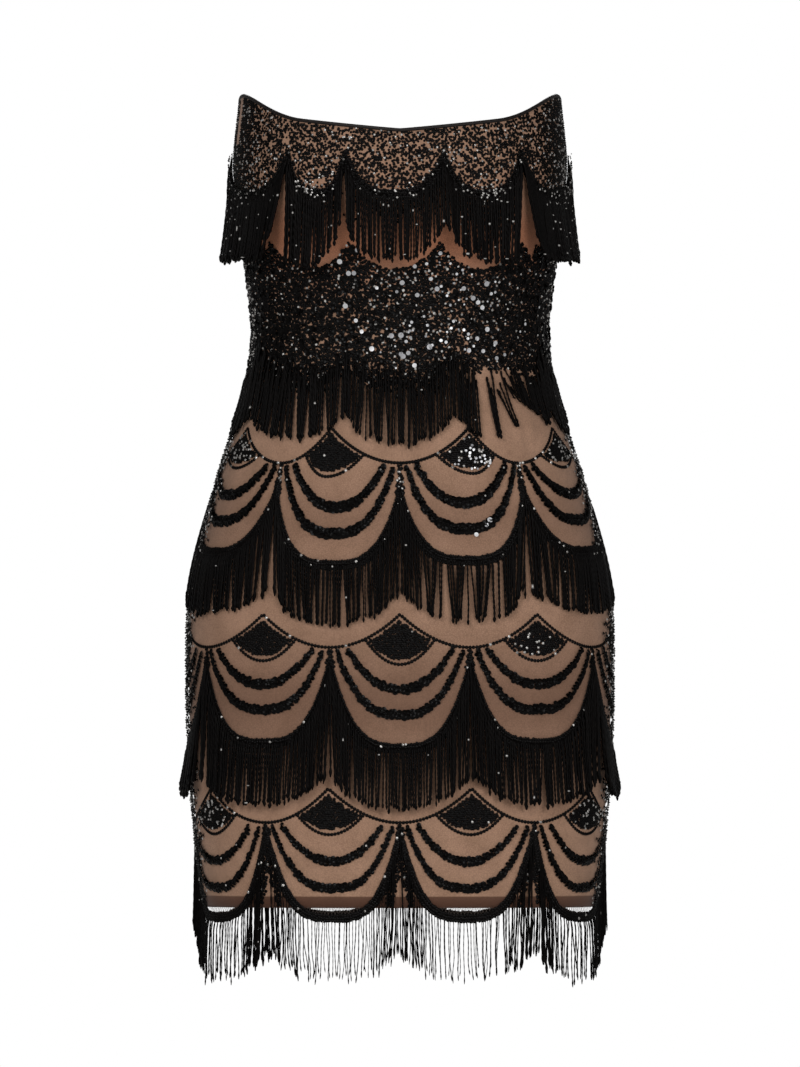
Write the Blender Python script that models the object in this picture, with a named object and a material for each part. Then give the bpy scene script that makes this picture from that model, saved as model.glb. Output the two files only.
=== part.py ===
"""A strapless beaded mini dress with five tiers of fringe, hollow as when it is worn.

The body is a front and a back panel, joined at the side seams. Raised bead swags stand on the outer
face of each panel, a corded edge runs round the neckline, and each tier of fringe hangs from a
narrow beaded band that is sewn to the panel along a scalloped line.

Axes: +Z up, the front faces -Y, +X is to the right of someone looking at the front. The origin is on
the body's axis at the height of the bust line, where the wearer holds the dress.
All sizes are in millimetres, and heights are measured from the bust line.
"""
import bmesh
import bpy
import numpy as np

for old_object in list(bpy.data.objects):
    bpy.data.objects.remove(old_object, do_unlink=True)

MM = 0.001

# Cloth and seams
WALL = 2.0                    # net, jersey and the small beads on them, as one wall
SEAM_GAP = 0.3                # between two pieces at a seam
SEWN_GAP = 0.35               # between a panel and a band that is sewn on it
HEM_HEIGHT = -640.0           # the cut edge of the cloth
QUARTER_ROUND = 230.0         # about a quarter of the way round, to turn a seam gap into a place

# The body under the cloth. Squareness is the power of the rounded section, 2 for a plain ellipse.
SECTION_COLUMNS = ("height", "half_width", "front_depth", "back_depth", "squareness")
SECTIONS = (
    (80.0, 141.0, 116.0, 100.0, 2.20),      # top edge at the underarm
    (0.0, 147.0, 126.0, 106.0, 2.20),       # bust line
    (-75.0, 136.5, 106.0, 97.0, 2.20),      # under the bust
    (-135.0, 130.5, 98.0, 94.0, 2.25),      # waist
    (-185.0, 136.5, 101.0, 99.0, 2.30),     # below the waist
    (-265.0, 160.5, 108.0, 112.0, 2.35),    # high hip
    (-352.0, 182.5, 112.0, 122.0, 2.40),    # hip
    (-450.0, 186.5, 113.0, 121.0, 2.40),    # thigh
    (-546.0, 182.0, 113.0, 118.0, 2.40),    # lower thigh
    (-640.0, 173.0, 113.0, 116.0, 2.40),    # hem
)

# Round the body a place is counted in swag units: 0 at centre front, 2 at the side seam to the
# wearer's left, -2 at the other, 4 at centre back. The skirt has 8 swags round, the bust 10.
UNITS_ROUND = 8.0
HALF_ROUND = UNITS_ROUND / 2
SIDE_SEAM = 2.0
COLUMNS_PER_UNIT = 10
BUST_UNIT = 0.8

# Neckline: the height of its lowest point in front, of its two peaks and of the back
NECK_FRONT = 45.0
NECK_PEAK = 76.5
NECK_BACK = 35.0
PEAK_PLACE = 1.7
EVEN_RISE, LATE_RISE = 0.6, 0.4   # shares of the front's rise, all along and near the peak
LATE_START, LATE_SPAN = 0.5, 0.45
BACK_FALL = 2.6               # how soon the edge falls behind the underarm
EDGE_CORD_RADIUS = 1.8
EDGE_CORD_SIDES = 6

# A skirt tier hangs as a fish scale: a line of up-pointing cusps, a fan below each cusp, two swags
# and a scalloped band that carries the fringe. "shift" is 0.5 where a gap lies at centre front.
TIER_COLUMNS = ("name", "shift", "cusp", "low", "fan", "swag_1", "swag_2", "band_side", "scallop",
                "tip_side", "tip_middle", "flare")
TIERS = (
    ("hip", 0.5, -218.0, -249.0, -261.0, -288.0, -312.0, -282.0, -342.0, -364.0, -392.0, 0.0),
    ("thigh", 0.0, -382.0, -411.0, -425.0, -448.0, -472.0, -432.0, -503.0, -528.0, -554.0, 7.0),
    ("hem", 0.5, -535.0, -565.0, -577.0, -604.0, -628.0, -586.0, -653.0, -686.0, -704.0, 0.0),
)

# The two tiers above the skirt have a fringe on a scalloped band and no swags
TOP_TIER_COLUMNS = ("name", "shift", "unit", "band_side", "scallop", "tip_side", "tip_middle", "flare")
TOP_TIERS = (
    ("bust", 0.0, BUST_UNIT, 27.0, -16.0, -58.0, -71.0, 6.5),
    ("waist", 0.0, 1.0, -158.0, -187.0, -217.0, -235.0, 0.0),
)

SWAG_POWER = 2.4              # roundness of a swag, 2 for a parabola
BAND_POWER = 3.2              # the scalloped bands are rounder, like half an ellipse
FIRST_SWAG_REACH = 0.78       # the upper swag ends on the cusp line before the unit does
SWAG_HALF_HEIGHT = 4.0
SWAG_RAISED = 2.4             # the large cupped sequins of a swag
FAN_RAISED = 1.8
FAN_REACH = 0.52              # of half a unit, at the fan's widest
SWAG_FADE = 0.6               # how much lower a swag stands where it ends
ROW_STEP = 1.8                # between two rows where the swags run together
BAND_HEIGHT = 7.0
BAND_THICKNESS = 2.2

# Fringe: bunches of bead strings, one on every second column
LOCK_THICKNESS = 2.6
LOCK_SPREAD = 0.62            # half the width of a bunch at its tip, of a column
LOCK_CLEARANCE = 2.8
BENT_TIERS = ("waist", "hip")  # where the bunches bend over the curve of the hip

# Rows of the panels' faces where nothing is raised
PLAIN_ROWS_TORSO = (-92.0, -114.0, -136.0)
INNER_ROWS = (10.0, -25.0, -52.0, -80.0, -105.0, -130.0, -155.0, -182.0, -212.0, -250.0, -290.0,
              -335.0, -400.0, -480.0, -560.0)
ROW_STEP_AT_HEM = 0.7

# Small steps that measure the way out from the body, in places and in height
STEP_ROUND = 0.02
STEP_UP = 2.0


def smooth_column(height, column):
    """A column of the section table at any height: a cubic through the rows with matched slopes."""
    table = np.array(SECTIONS[::-1])
    rows, values = table[:, 0], table[:, SECTION_COLUMNS.index(column)]
    slopes = np.gradient(values, rows)
    place = np.clip(np.searchsorted(rows, height) - 1, 0, len(rows) - 2)
    span = rows[place + 1] - rows[place]
    t = (np.clip(height, rows[0], rows[-1]) - rows[place]) / span
    return ((2 * t**3 - 3 * t**2 + 1) * values[place] + (t**3 - 2 * t**2 + t) * span * slopes[place]
            + (3 * t**2 - 2 * t**3) * values[place + 1] + (t**3 - t**2) * span * slopes[place + 1])


def quarter_point(half_width, depth, squareness, share):
    """A point on a quarter of a rounded section, a share of its length away from the y axis."""
    angle = np.linspace(0.0, np.pi / 2, 721)
    x = half_width * np.sin(angle) ** (2 / squareness)
    y = depth * np.cos(angle) ** (2 / squareness)
    length = np.concatenate(([0.0], np.cumsum(np.hypot(np.diff(x), np.diff(y)))))
    return np.interp(share * length[-1], length, x), np.interp(share * length[-1], length, y)


def body_point(place, height):
    """The outer face of the plain wall at a place round the body and a height."""
    place = (place + HALF_ROUND) % UNITS_ROUND - HALF_ROUND
    width = smooth_column(height, "half_width")
    square = smooth_column(height, "squareness")
    if abs(place) <= SIDE_SEAM:
        x, y = quarter_point(width, smooth_column(height, "front_depth"), square, abs(place) / SIDE_SEAM)
        y = -y
    else:
        share = (HALF_ROUND - abs(place)) / SIDE_SEAM
        x, y = quarter_point(width, smooth_column(height, "back_depth"), square, share)
    return np.array((x if place >= 0 else -x, y, height))


def wall_point(place, height, out=0.0):
    """A point moved out from the plain wall along its normal, which is measured by small steps."""
    here = body_point(place, height)
    if out == 0.0:
        return here
    step_round = body_point(place + STEP_ROUND, height) - body_point(place - STEP_ROUND, height)
    step_up = body_point(place, height + STEP_UP) - body_point(place, height - STEP_UP)
    normal = np.cross(step_round, step_up)
    return here + normal / np.linalg.norm(normal) * out


def from_unit_middle(place, shift, unit=1.0):
    """How far a place is from the middle of its unit, 0 there and 1 where two units meet."""
    return abs((place / unit - shift + 0.5) % 1.0 - 0.5) * 2


def swag(place, shift, side, middle, unit=1.0, power=BAND_POWER):
    """The height of a swag that hangs from `side`, where units meet, down to `middle`."""
    return side + (middle - side) * (1 - from_unit_middle(place, shift, unit) ** power)


def cusp_line(place, shift, cusp, low):
    """A line that hangs between two up-pointing cusps, which are at the middles of two units."""
    return low + (cusp - low) * (1 - from_unit_middle(place, shift)) ** 2


def neckline(place):
    """The height of the finished neck edge: a shallow dip in front, two peaks and a lower back."""
    place = abs((place + HALF_ROUND) % UNITS_ROUND - HALF_ROUND)
    if place < PEAK_PLACE:
        share = place / PEAK_PLACE
        late = np.clip((share - LATE_START) / LATE_SPAN, 0.0, 1.0)
        rise = EVEN_RISE * share**1.1 + LATE_RISE * late**2 * (3 - 2 * late)
        return NECK_FRONT + (NECK_PEAK - NECK_FRONT) * rise
    turn = np.pi * (place - PEAK_PLACE) / (HALF_ROUND - PEAK_PLACE)
    return NECK_BACK + (NECK_PEAK - NECK_BACK) * (0.5 + 0.5 * np.cos(turn)) ** BACK_FALL


def cloth_top(place):
    """The panel's top edge, which the edge cord covers."""
    return neckline(place) - 2 * EDGE_CORD_RADIUS - SEAM_GAP


def band_lower(tier, place):
    """The lower edge of a tier's fringe band, where the bead strings start."""
    return swag(place, tier["shift"], tier["band_side"] - BAND_HEIGHT, tier["scallop"],
                tier.get("unit", 1.0))


def inner_curve(tier, place, middle, reach, steps):
    """A smile below a cusp: from `middle` up to the cusp line at `reach`, then along that line."""
    top = cusp_line(place, tier["shift"], tier["cusp"], tier["low"]) - steps * ROW_STEP
    end = cusp_line(tier["shift"] + reach / 2, tier["shift"], tier["cusp"], tier["low"])
    away = from_unit_middle(place, tier["shift"])
    curve = middle + (end - steps * ROW_STEP - middle) * (away / reach) ** 2
    return min(curve, top) if away < reach else top


def tier_rows(tier, place):
    """The rows of one skirt tier at a place, top to bottom, as pairs of height and raised height."""
    away = from_unit_middle(place, tier["shift"])
    top = cusp_line(place, tier["shift"], tier["cusp"], tier["low"])
    fan = inner_curve(tier, place, tier["fan"], FAN_REACH, 2)
    rows = [(top, 0.0), ((top + fan) / 2, FAN_RAISED * max(0.0, 1 - (away / FAN_REACH) ** 2)), (fan, 0.0)]
    for edge, out in ((1, 0.0), (0, max(0.0, 1 - (away / FIRST_SWAG_REACH) ** 4)), (-1, 0.0)):
        middle = tier["swag_1"] + edge * SWAG_HALF_HEIGHT
        height = inner_curve(tier, place, middle, FIRST_SWAG_REACH, 4 - edge)
        rows.append((height, SWAG_RAISED * out))
    for edge, out in ((1, 0.0), (0, 1 - SWAG_FADE * away**4), (-1, 0.0)):
        side = tier["low"] - (7 - edge) * ROW_STEP
        middle = tier["swag_2"] + edge * SWAG_HALF_HEIGHT
        height = swag(place, tier["shift"], side, middle, power=SWAG_POWER)
        rows.append((height, SWAG_RAISED * out))
    lower = band_lower(tier, place)
    return rows + [(lower + BAND_HEIGHT, 0.0), (lower, 0.0)]


def panel_rows(place):
    """Every row of a panel's outer face at a place, from the neckline to the hem."""
    tiers = [dict(zip(TIER_COLUMNS, row)) for row in TIERS]
    tops = {row[0]: dict(zip(TOP_TIER_COLUMNS, row)) for row in TOP_TIERS}
    rows = [(cloth_top(place), 0.0)]
    for name in ("bust", "waist"):
        tier = tops[name]
        lower = band_lower(tier, place)
        rows += [(lower + BAND_HEIGHT, 0.0), (lower, 0.0)]
        if name == "bust":
            rows += [((lower + PLAIN_ROWS_TORSO[0]) / 2, 0.0)]
            rows += [(height, 0.0) for height in PLAIN_ROWS_TORSO]
    for tier in tiers:
        rows += tier_rows(tier, place)
    # Rows that would pass the hem are kept just above it, in their order
    rows.append((HEM_HEIGHT, 0.0))
    last = len(rows) - 1
    return [(max(height, HEM_HEIGHT + (last - k) * ROW_STEP_AT_HEM), out if height > HEM_HEIGHT else 0.0)
            for k, (height, out) in enumerate(rows)]


def half_places(back):
    """The places of the columns of the front or the back half, half a seam gap short at each end."""
    count = int(2 * SIDE_SEAM * COLUMNS_PER_UNIT)
    places = np.linspace(-SIDE_SEAM, SIDE_SEAM, count + 1) + (HALF_ROUND if back else 0.0)
    short = SEAM_GAP / 2 / QUARTER_ROUND * SIDE_SEAM
    places[0] += short
    places[-1] -= short
    return places


def bridge(outer, inner, points):
    """Triangles between two lines of points that run down side by side, taking the higher step."""
    faces, i, j = [], 0, 0
    while i < len(outer) - 1 or j < len(inner) - 1:
        step_outer = j == len(inner) - 1 or (i < len(outer) - 1 and
                                             points[outer[i + 1]][2] >= points[inner[j + 1]][2])
        if step_outer:
            faces.append((outer[i], outer[i + 1], inner[j]))
            i += 1
        else:
            faces.append((outer[i], inner[j + 1], inner[j]))
            j += 1
    return faces


def make_object(name, points, faces, material):
    """A closed mesh object with its faces turned outward and its round forms shaded smooth."""
    mesh = bpy.data.meshes.new(name)
    mesh.from_pydata([tuple(point * MM) for point in points], [], faces)
    work = bmesh.new()
    work.from_mesh(mesh)
    bmesh.ops.recalc_face_normals(work, faces=work.faces)
    work.to_mesh(mesh)
    work.free()
    mesh.materials.append(material)
    mesh.shade_smooth()
    mesh.set_sharp_from_angle(angle=np.radians(40))
    made = bpy.data.objects.new(name, mesh)
    bpy.context.scene.collection.objects.link(made)
    return made


def make_material(name, colour, roughness, metallic=0.0):
    material = bpy.data.materials.new(name)
    material.use_nodes = True
    shader = material.node_tree.nodes["Principled BSDF"]
    shader.inputs["Base Color"].default_value = (*colour, 1.0)
    shader.inputs["Roughness"].default_value = roughness
    shader.inputs["Metallic"].default_value = metallic
    return material


def make_panel(name, back, material):
    """A front or back panel: swags raised on its outer face, a plain inner face, closed edges."""
    places = half_places(back)
    points, outer, inner = [], [], []
    for place in places:
        column = []
        for height, out in panel_rows(place):
            column.append(len(points))
            points.append(wall_point(place, height, out))
        outer.append(column)
    for place in places[::2]:
        heights = [cloth_top(place), *INNER_ROWS, HEM_HEIGHT]
        column = []
        for height in heights:
            column.append(len(points))
            points.append(wall_point(place, height, -WALL))
        inner.append(column)
    faces = []
    for grid in (outer, inner):
        for left, right in zip(grid[:-1], grid[1:]):
            faces += [(left[r], left[r + 1], right[r + 1], right[r]) for r in range(len(left) - 1)]
    for edge in (0, -1):
        faces += bridge(outer[edge], inner[edge], points)
        for k in range(len(inner) - 1):
            first, middle, second = (outer[2 * k + step][edge] for step in range(3))
            near, far = inner[k][edge], inner[k + 1][edge]
            faces += [(first, middle, near), (middle, far, near), (middle, second, far)]
    return make_object(name, points, faces, material)


def make_edge_cord(name, back, material):
    """The bound neck edge: a round cord that sits on the panel's top edge."""
    points, rings = [], []
    turns = 2 * np.pi * (np.arange(EDGE_CORD_SIDES) + 0.5) / EDGE_CORD_SIDES
    for place in half_places(back):
        height = neckline(place) - EDGE_CORD_RADIUS
        ring = []
        for turn in turns:
            out = -WALL / 2 + EDGE_CORD_RADIUS * np.cos(turn)
            point = wall_point(place, height, out)
            ring.append(len(points))
            points.append(point + np.array((0.0, 0.0, EDGE_CORD_RADIUS * np.sin(turn))))
        rings.append(ring)
    faces = [tuple(rings[0]), tuple(rings[-1])]
    for left, right in zip(rings[:-1], rings[1:]):
        for k in range(EDGE_CORD_SIDES):
            after = (k + 1) % EDGE_CORD_SIDES
            faces.append((left[k], left[after], right[after], right[k]))
    return make_object(name, points, faces, material)


def hang_out(place, root_height, height, root_out, flare):
    """How far out a bunch hangs at a height: straight down from its root, or clear of the body."""
    root = wall_point(place, root_height, root_out)
    below = wall_point(place, height)
    outward = wall_point(place, height, 1.0) - below
    outward[2] = 0.0
    drop = float((root - below)[:2] @ outward[:2]) / np.linalg.norm(outward)
    return max(LOCK_CLEARANCE, drop) + flare


def make_fringe(name, tier, back, material):
    """A beaded band along a tier's scalloped line, with bunches of fringe grown from its lower edge."""
    places = half_places(back)
    points, rings = [], []
    for place in places:
        lower = band_lower(tier, place)
        corners = ((lower + BAND_HEIGHT, SEWN_GAP), (lower + BAND_HEIGHT, SEWN_GAP + BAND_THICKNESS),
                   (lower, SEWN_GAP + BAND_THICKNESS), (lower, SEWN_GAP))
        rings.append(list(range(len(points), len(points) + 4)))
        points += [wall_point(place, height, out) for height, out in corners]
    faces = [tuple(rings[0]), tuple(rings[-1])]
    for column, (left, right) in enumerate(zip(rings[:-1], rings[1:])):
        # Each side face starts at its upper corner, as the panel's faces do, so both fold alike
        faces += [(left[k], left[n], right[n], right[k]) for k, n in ((0, 1), (1, 2), (0, 3))]
        root = [left[2], left[3], right[3], right[2]]
        if column % 2 == 0:
            faces.append(tuple(root))
            continue
        middle = (places[column] + places[column + 1]) / 2
        spread = (places[column + 1] - places[column]) * LOCK_SPREAD
        root_height = band_lower(tier, middle)
        tip = swag(middle, tier["shift"], tier["tip_side"], tier["tip_middle"], tier.get("unit", 1.0))
        shares = (0.5, 1.0) if tier["name"] in BENT_TIERS else (1.0,)
        for share in shares:
            height = root_height + (tip - root_height) * share
            out = hang_out(middle, root_height, height, SEWN_GAP, tier["flare"] * share)
            reach = (out + LOCK_THICKNESS, out, out, out + LOCK_THICKNESS)
            sides = (-spread, -spread, spread, spread)
            level = list(range(len(points), len(points) + 4))
            points += [wall_point(middle + s, height, r) for s, r in zip(sides, reach)]
            faces += [(root[k], root[(k + 1) % 4], level[(k + 1) % 4], level[k]) for k in range(4)]
            root = level
        faces.append(tuple(root))
    return make_object(name, points, faces, material)


nude_cloth = make_material("nude_net_over_jersey", (0.35, 0.20, 0.14), 0.75)
black_beads = make_material("black_glass_beads", (0.012, 0.011, 0.012), 0.35)

for half, is_back in (("front", False), ("back", True)):
    make_panel(f"dress_{half}", is_back, nude_cloth)
    make_edge_cord(f"neck_edge_{half}", is_back, black_beads)
    for row in TOP_TIERS:
        make_fringe(f"fringe_{row[0]}_{half}", dict(zip(TOP_TIER_COLUMNS, row)), is_back, black_beads)
    for row in TIERS:
        make_fringe(f"fringe_{row[0]}_{half}", dict(zip(TIER_COLUMNS, row)), is_back, black_beads)
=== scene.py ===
import bpy
import numpy as np
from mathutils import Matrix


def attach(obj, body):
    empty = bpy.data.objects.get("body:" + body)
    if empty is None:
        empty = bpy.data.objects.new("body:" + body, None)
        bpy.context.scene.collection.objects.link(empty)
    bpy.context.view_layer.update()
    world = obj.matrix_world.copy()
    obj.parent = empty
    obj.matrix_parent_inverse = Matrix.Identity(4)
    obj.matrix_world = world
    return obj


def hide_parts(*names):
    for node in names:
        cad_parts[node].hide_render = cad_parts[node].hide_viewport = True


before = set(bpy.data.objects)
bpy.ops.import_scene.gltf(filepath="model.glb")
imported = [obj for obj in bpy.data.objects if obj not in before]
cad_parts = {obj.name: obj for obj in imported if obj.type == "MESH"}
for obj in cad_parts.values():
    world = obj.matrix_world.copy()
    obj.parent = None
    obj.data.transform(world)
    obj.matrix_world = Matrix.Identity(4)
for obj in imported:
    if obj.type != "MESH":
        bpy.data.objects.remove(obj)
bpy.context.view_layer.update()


# The two panels.
# A front and a back of fine black stretch net over nude viscose jersey, cut to shape and joined at
# the side seams. Both layers are worked as one, so each panel is one thin shell, a little creased.

MM = 0.001
UNITS_ROUND = 8  # the skirt has 8 swags round, and a place round it is counted in them
SIDE_SEAM = 2  # 0 is centre front, 2 and -2 the side seams, 4 centre back
HALVES = (("front", 0), ("back", 4))
UNIT_LENGTH = 121  # one unit of the hip, in millimetres
HEM_HEIGHT = -640  # heights are in millimetres from the bust line
CLOTH_FACES = (-0.5, -1.6)  # outer and inner face of the shell, from the outer face of the CAD wall
NUDE_JERSEY, NUDE_SHADE = "#B89178", "#A48068"
FRINGE_SHADE_JERSEY = "#BE7957"  # painted shade: the cloth is drawn a little redder under the bust fringe, where the fringe shades it
FRINGE_SHADE_HEIGHT, FRINGE_SHADE_REACH, FRINGE_SHADE_SHARE = -52, 34, 0.8
# The turned-up hem is browner where the cloth lies doubled; the same brown is also used as painted shade
# below the fringes
FOLD_AND_SHADE_BROWN, HEM_FOLD_HEIGHT = "#5A3B2C", 10.5
FRINGE_SHADE_BANDS = ((-300, 34, 0.34), (-460, 50, 0.58))  # painted shade: where the cloth is drawn browner, below the tips of the fringes: height, reach, share
HEM_ROWS = (24, 16, 10.6, 9.6, 5, 0)  # the cloth's last rows of points, above the hem
CORD_CENTRE = 1.8  # below the finished neck edge, where the cloth ends inside its cord
NET_THREAD = "#4A3428"
NET_CELL = 1.7  # real net is 0.8 mm: drawn coarser, so that it shows
NECK_FRONT, NECK_PEAK, NECK_BACK = 45, 76.5, 35   # heights at centre front, the peaks and centre back
PEAK_PLACE = 1.7


def named(columns, rows):
    """The rows of a table as dictionaries, by the names of its columns."""
    return [dict(zip(columns.split(), row)) for row in rows]


SECTIONS = named("height half_width front_depth back_depth squareness", (
    (80, 141, 116, 100, 2.2),  # top edge at the underarm
    (0, 147, 126, 106, 2.2),  # bust line
    (-75, 136.5, 106, 97, 2.2),  # under the bust
    (-135, 130.5, 98, 94, 2.25),  # waist
    (-185, 136.5, 101, 99, 2.3),  # below the waist
    (-265, 160.5, 108, 112, 2.35),  # high hip
    (-352, 182.5, 112, 122, 2.4),  # hip
    (-450, 186.5, 113, 121, 2.4),  # thigh
    (-546, 182, 113, 118, 2.4),  # lower thigh
    (-640, 173, 113, 116, 2.4),  # hem
))

# Each crease is a soft trough: where it lies, how long, wide and deep it is, and how it leans
CREASES = named("place height length width depth lean", (
    (-1.3, -252, 42, 7, 1.3, 0.7), (1.18, -238, 50, 8, 1.1, -0.6),
    (-1.62, -118, 46, 9, 1.6, 0.2), (1.72, -128, 38, 8, 1.5, -0.3),
    (-0.55, -398, 60, 11, 0.9, 0.9), (0.42, -402, 46, 9, 0.8, -0.8),
    (1.45, -405, 55, 10, 1.2, -0.5), (-1.52, -560, 50, 12, 1, 0.4),
    (0.08, -558, 38, 10, 0.7, 0.1), (2.6, -120, 52, 9, 1.7, 0.4),
    (-2.75, -130, 44, 8, 1.5, -0.3), (3.55, -300, 64, 12, 1.4, 0.8),
    (-3.4, -290, 58, 11, 1.2, -0.9), (2.45, -420, 50, 11, 1, 0.5),
    (-2.3, -560, 46, 10, 1.1, -0.4), (3.92, -572, 40, 9, 0.8, 0.2),
    (1.02, -222, 40, 4.5, 0.9, -0.1), (1.14, -226, 44, 4.5, 1, 0.12),
    (1.27, -224, 40, 4.5, 0.9, 0.38), (1.38, -214, 34, 4.5, 0.8, 0.7),
))


def body_table(height_step=2, place_step=0.05):
    """Points and outward normals of the body for each height and place round. A section is a rounded
    ellipse, x = a sin^(2/n), y = b cos^(2/n), read at equal shares of its length; its sizes at a
    height are cubics through the table's rows."""
    rows = np.array([list(row.values()) for row in SECTIONS[::-1]])
    heights = np.arange(rows[0, 0] - 90, rows[-1, 0] + 12, height_step)
    known = np.clip(heights, rows[0, 0], rows[-1, 0])
    slopes = np.gradient(rows[:, 1:], rows[:, 0], axis=0)
    at = np.clip(np.searchsorted(rows[:, 0], known) - 1, 0, len(rows) - 2)
    span = rows[at + 1, 0] - rows[at, 0]
    t = ((known - rows[at, 0]) / span)[:, None]
    values = ((2 * t**3 - 3 * t**2 + 1) * rows[at, 1:] + (t**3 - 2 * t**2 + t) * span[:, None] * slopes[at]
              + (3 * t**2 - 2 * t**3) * rows[at + 1, 1:] + (t**3 - t**2) * span[:, None] * slopes[at + 1])
    width, front, back, square = values.T
    angle = np.linspace(0, np.pi / 2, 721)
    shares = np.arange(0, SIDE_SEAM + place_step / 2, place_step) / SIDE_SEAM
    quarters = []
    for depth in (front, back):
        x = width[:, None] * np.sin(angle) ** (2 / square[:, None])
        y = depth[:, None] * np.cos(angle) ** (2 / square[:, None])
        length = np.cumsum(np.hypot(np.diff(x, prepend=0), np.diff(y, prepend=depth[:, None])), axis=1)
        share = length / length[:, -1:]
        quarters.append(np.stack([[np.interp(shares, s, v) for s, v in zip(share, values)]
                                  for values in (x, y)], axis=-1))
    front_right, back_right = quarters[0] * (1, -1), quarters[1]
    right = np.concatenate((front_right, back_right[:, -2::-1]), axis=1)
    around = np.concatenate((right[:, :0:-1] * (-1, 1), right[:, :-1]), axis=1)
    flat = np.broadcast_to(heights[:, None, None], around.shape[:2] + (1,))
    points = np.concatenate((around, flat), axis=-1)
    across = np.roll(points, -1, axis=1) - np.roll(points, 1, axis=1)
    normals = np.cross(across, np.gradient(points, axis=0))
    normals /= np.linalg.norm(normals, axis=-1, keepdims=True)
    return heights, place_step, np.concatenate((points, normals), axis=-1)


TABLE_HEIGHTS, PLACE_STEP, BODY = body_table()


def wrapped(place):
    """The same place counted from -4 to 4."""
    return (place + 4) % UNITS_ROUND - 4


def creased(place, height):
    """How deep the creases are: each is a bell across its line and a wider bell along it."""
    depth = np.zeros(np.broadcast(place, height).shape)
    for crease in CREASES:
        side = wrapped(place - crease["place"]) * UNIT_LENGTH
        up = height - crease["height"]
        along = side * np.sin(crease["lean"]) + up * np.cos(crease["lean"])
        across = side * np.cos(crease["lean"]) - up * np.sin(crease["lean"])
        depth += crease["depth"] * np.exp(-(across / crease["width"])**2 - (2 * along / crease["length"])**2)
    return depth


def on_body(place, height, out=0):
    """Points in metres at a place and height, moved out along the body's normal: a straight reading
    between the table's four nearest points, less the creases."""
    place, height, out = np.broadcast_arrays(np.asarray(place, float), height, out)
    column = ((place + 4) % UNITS_ROUND) / PLACE_STEP
    row = np.clip((height - TABLE_HEIGHTS[0]) / (TABLE_HEIGHTS[1] - TABLE_HEIGHTS[0]), 0,
                  len(TABLE_HEIGHTS) - 1.001)
    c, r = column.astype(int), row.astype(int)
    s, t = (column - c)[..., None], (row - r)[..., None]
    c, c_next = c % BODY.shape[1], (c + 1) % BODY.shape[1]
    found = ((BODY[r, c] * (1 - s) + BODY[r, c_next] * s) * (1 - t)
             + (BODY[r + 1, c] * (1 - s) + BODY[r + 1, c_next] * s) * t)
    found[..., 2] = height
    return (found[..., :3] + found[..., 3:] * (out - creased(place, height))[..., None]) * MM


def neckline(place):
    """The finished neck edge: a shallow dip in front, a peak at each side front, a lower back."""
    place = np.abs(wrapped(place))
    share = np.minimum(place / PEAK_PLACE, 1)
    late = np.clip((share - 0.5) / 0.45, 0, 1)
    front = NECK_FRONT + (NECK_PEAK - NECK_FRONT) * (0.6 * share**1.1 + 0.4 * late**2 * (3 - 2 * late))
    turn = np.pi * np.clip(place - PEAK_PLACE, 0, None) / (4 - PEAK_PLACE)
    back = NECK_BACK + (NECK_PEAK - NECK_BACK) * (0.5 + 0.5 * np.cos(turn)) ** 2.6
    return np.where(place < PEAK_PLACE, front, back)


def linear(hex_colour):
    """An sRGB hex colour as linear red, green, blue and alpha."""
    srgb = np.array([int(hex_colour[k:k + 2], 16) / 255 for k in (1, 3, 5)])
    return (*np.where(srgb <= 0.04045, srgb / 12.92, ((srgb + 0.055) / 1.055) ** 2.4), 1)


def new_material(name, values):
    """A material and its shader; the values are those of the shader's inputs, by name."""
    material = bpy.data.materials.new(name)
    material.use_nodes = True
    shader = material.node_tree.nodes["Principled BSDF"]
    for key, value in values.items():
        shader.inputs[key].default_value = value
    return material, shader


def node(owner, kind, settings=None, **links):
    """Adds a node. Settings are its own properties, the values of its inputs by name, or the stops
    of its colour ramp; links join an input, with _ for a space, to another node's output."""
    made = owner.node_tree.nodes.new(kind)
    for name, value in (settings or {}).items():
        if name == "stops":
            stops = made.color_ramp.elements
            for stop, (position, colour) in zip(stops, (value[0], value[-1])):
                stop.position, stop.color = position, linear(colour)
            for position, colour in value[1:-1]:
                stops.new(position).color = linear(colour)
        elif hasattr(made, name):
            setattr(made, name, value)
        else:
            made.inputs[name].default_value = value
    for name, output in links.items():
        join(owner, output, made.inputs[name.replace("_", " ")])
    return made


def join(owner, output, socket):
    """Links an output to an input."""
    owner.node_tree.links.new(output, socket)


def put_mesh(name, points, faces, material, values=None, uv=None, smooth=True):
    """A mesh object from whole arrays: points (n, 3) in metres, faces (m, 3) or (m, 4). `values` are
    named numbers for each point and uv a pair for each point, both read by the material."""
    points, faces = np.asarray(points, np.float32).reshape(-1, 3), np.asarray(faces, np.int32)
    mesh = bpy.data.meshes.new(name)
    mesh.vertices.add(len(points))
    mesh.vertices.foreach_set("co", points.ravel())
    mesh.loops.add(faces.size)
    mesh.loops.foreach_set("vertex_index", faces.ravel())
    mesh.polygons.add(len(faces))
    mesh.polygons.foreach_set("loop_start", np.arange(0, faces.size, faces.shape[1], dtype=np.int32))
    mesh.update(calc_edges=True)
    mesh.polygons.foreach_set("use_smooth", np.full(len(faces), smooth))
    for key, numbers in (values or {}).items():
        layer = mesh.attributes.new(key, "FLOAT", "POINT")
        layer.data.foreach_set("value", np.asarray(numbers, np.float32).ravel())
    if uv is not None:
        layer = mesh.uv_layers.new(name="UVMap")
        layer.data.foreach_set("uv", np.asarray(uv, np.float32).reshape(-1, 2)[faces.ravel()].ravel())
    mesh.materials.append(material)
    made = bpy.data.objects.new(name, mesh)
    bpy.context.scene.collection.objects.link(made)
    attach(made, "root")
    return made


def grid_faces(rows, columns, start=0):
    """Quads of a grid of points stored row by row."""
    at = start + np.arange(rows * columns).reshape(rows, columns)
    return np.stack((at[:-1, :-1], at[1:, :-1], at[1:, 1:], at[:-1, 1:]), axis=-1).reshape(-1, 4)


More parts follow.
